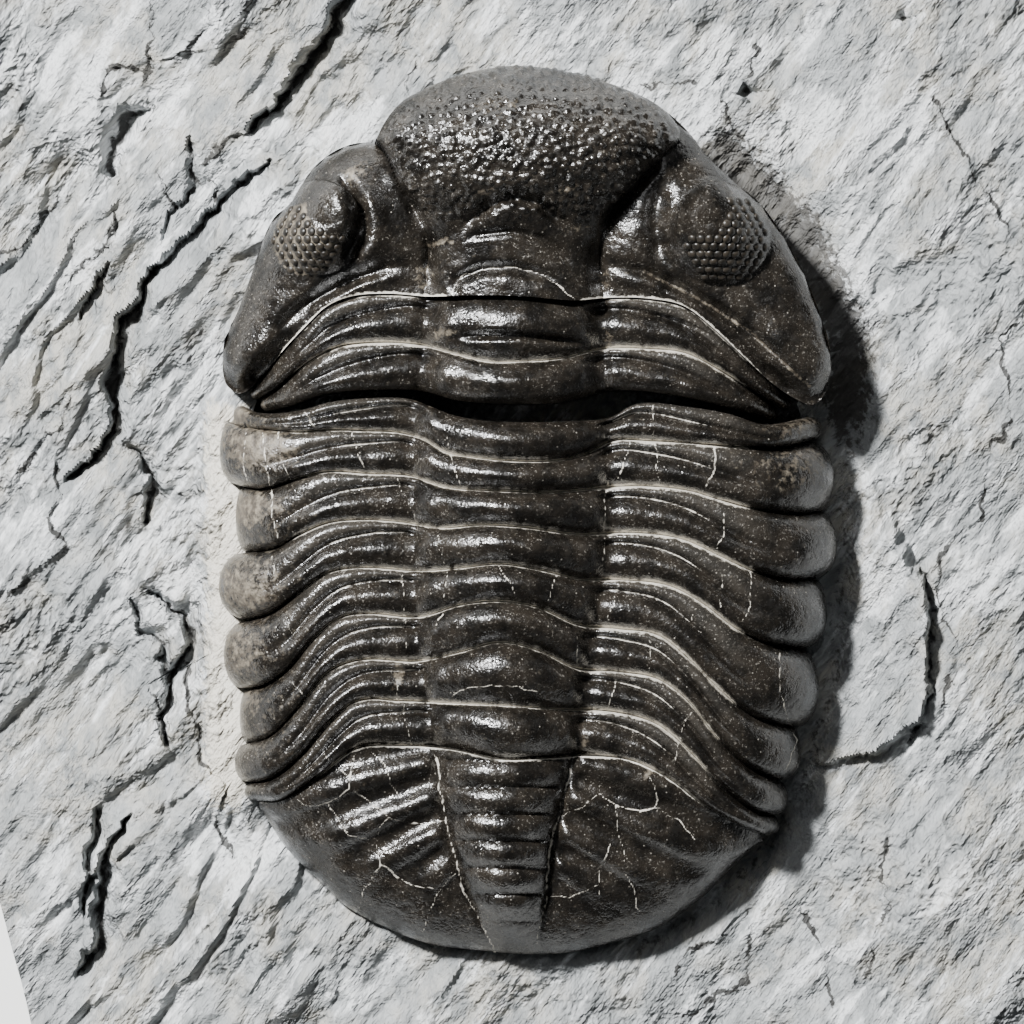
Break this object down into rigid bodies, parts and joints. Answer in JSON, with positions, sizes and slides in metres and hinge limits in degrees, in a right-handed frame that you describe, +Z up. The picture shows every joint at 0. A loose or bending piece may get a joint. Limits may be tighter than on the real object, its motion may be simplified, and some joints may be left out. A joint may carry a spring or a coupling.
{
  "type": "fossil trilobite on rock",
  "caption": "Complete dark fossil trilobite with a domed lobe, lensed eyes, banded body and rounded tail, fixed in a small rough slab of grey limestone.",
  "frame": {"origin": "on the flat underside of the slab, at the middle of its width and length", "axes": "+Z up out of the fossil's back, +Y towards its head, +X towards its right in the view from above"},
  "size_m": [0.069, 0.074, 0.0252],
  "materials": {
    "rock": "pale cool grey limestone, broken and splintery, dull, with darker open cracks and cream silt beside the fossil",
    "fossil": "brown-black mineral shell with a broken gloss, pebbled on the frontal lobe, crossed by thin cream calcite veins"
  },
  "bodies": {
    "root": {"matrix": "rock", "cephalon": "fossil", "thoracic_segment_01": "fossil", "thoracic_segment_02": "fossil", "thoracic_segment_03": "fossil", "thoracic_segment_04": "fossil", "thoracic_segment_05": "fossil", "thoracic_segment_06": "fossil", "thoracic_segment_07": "fossil", "thoracic_segment_08": "fossil", "thoracic_segment_09": "fossil", "thoracic_segment_10": "fossil", "pygidium": "fossil"}
  },
  "joints": []
}
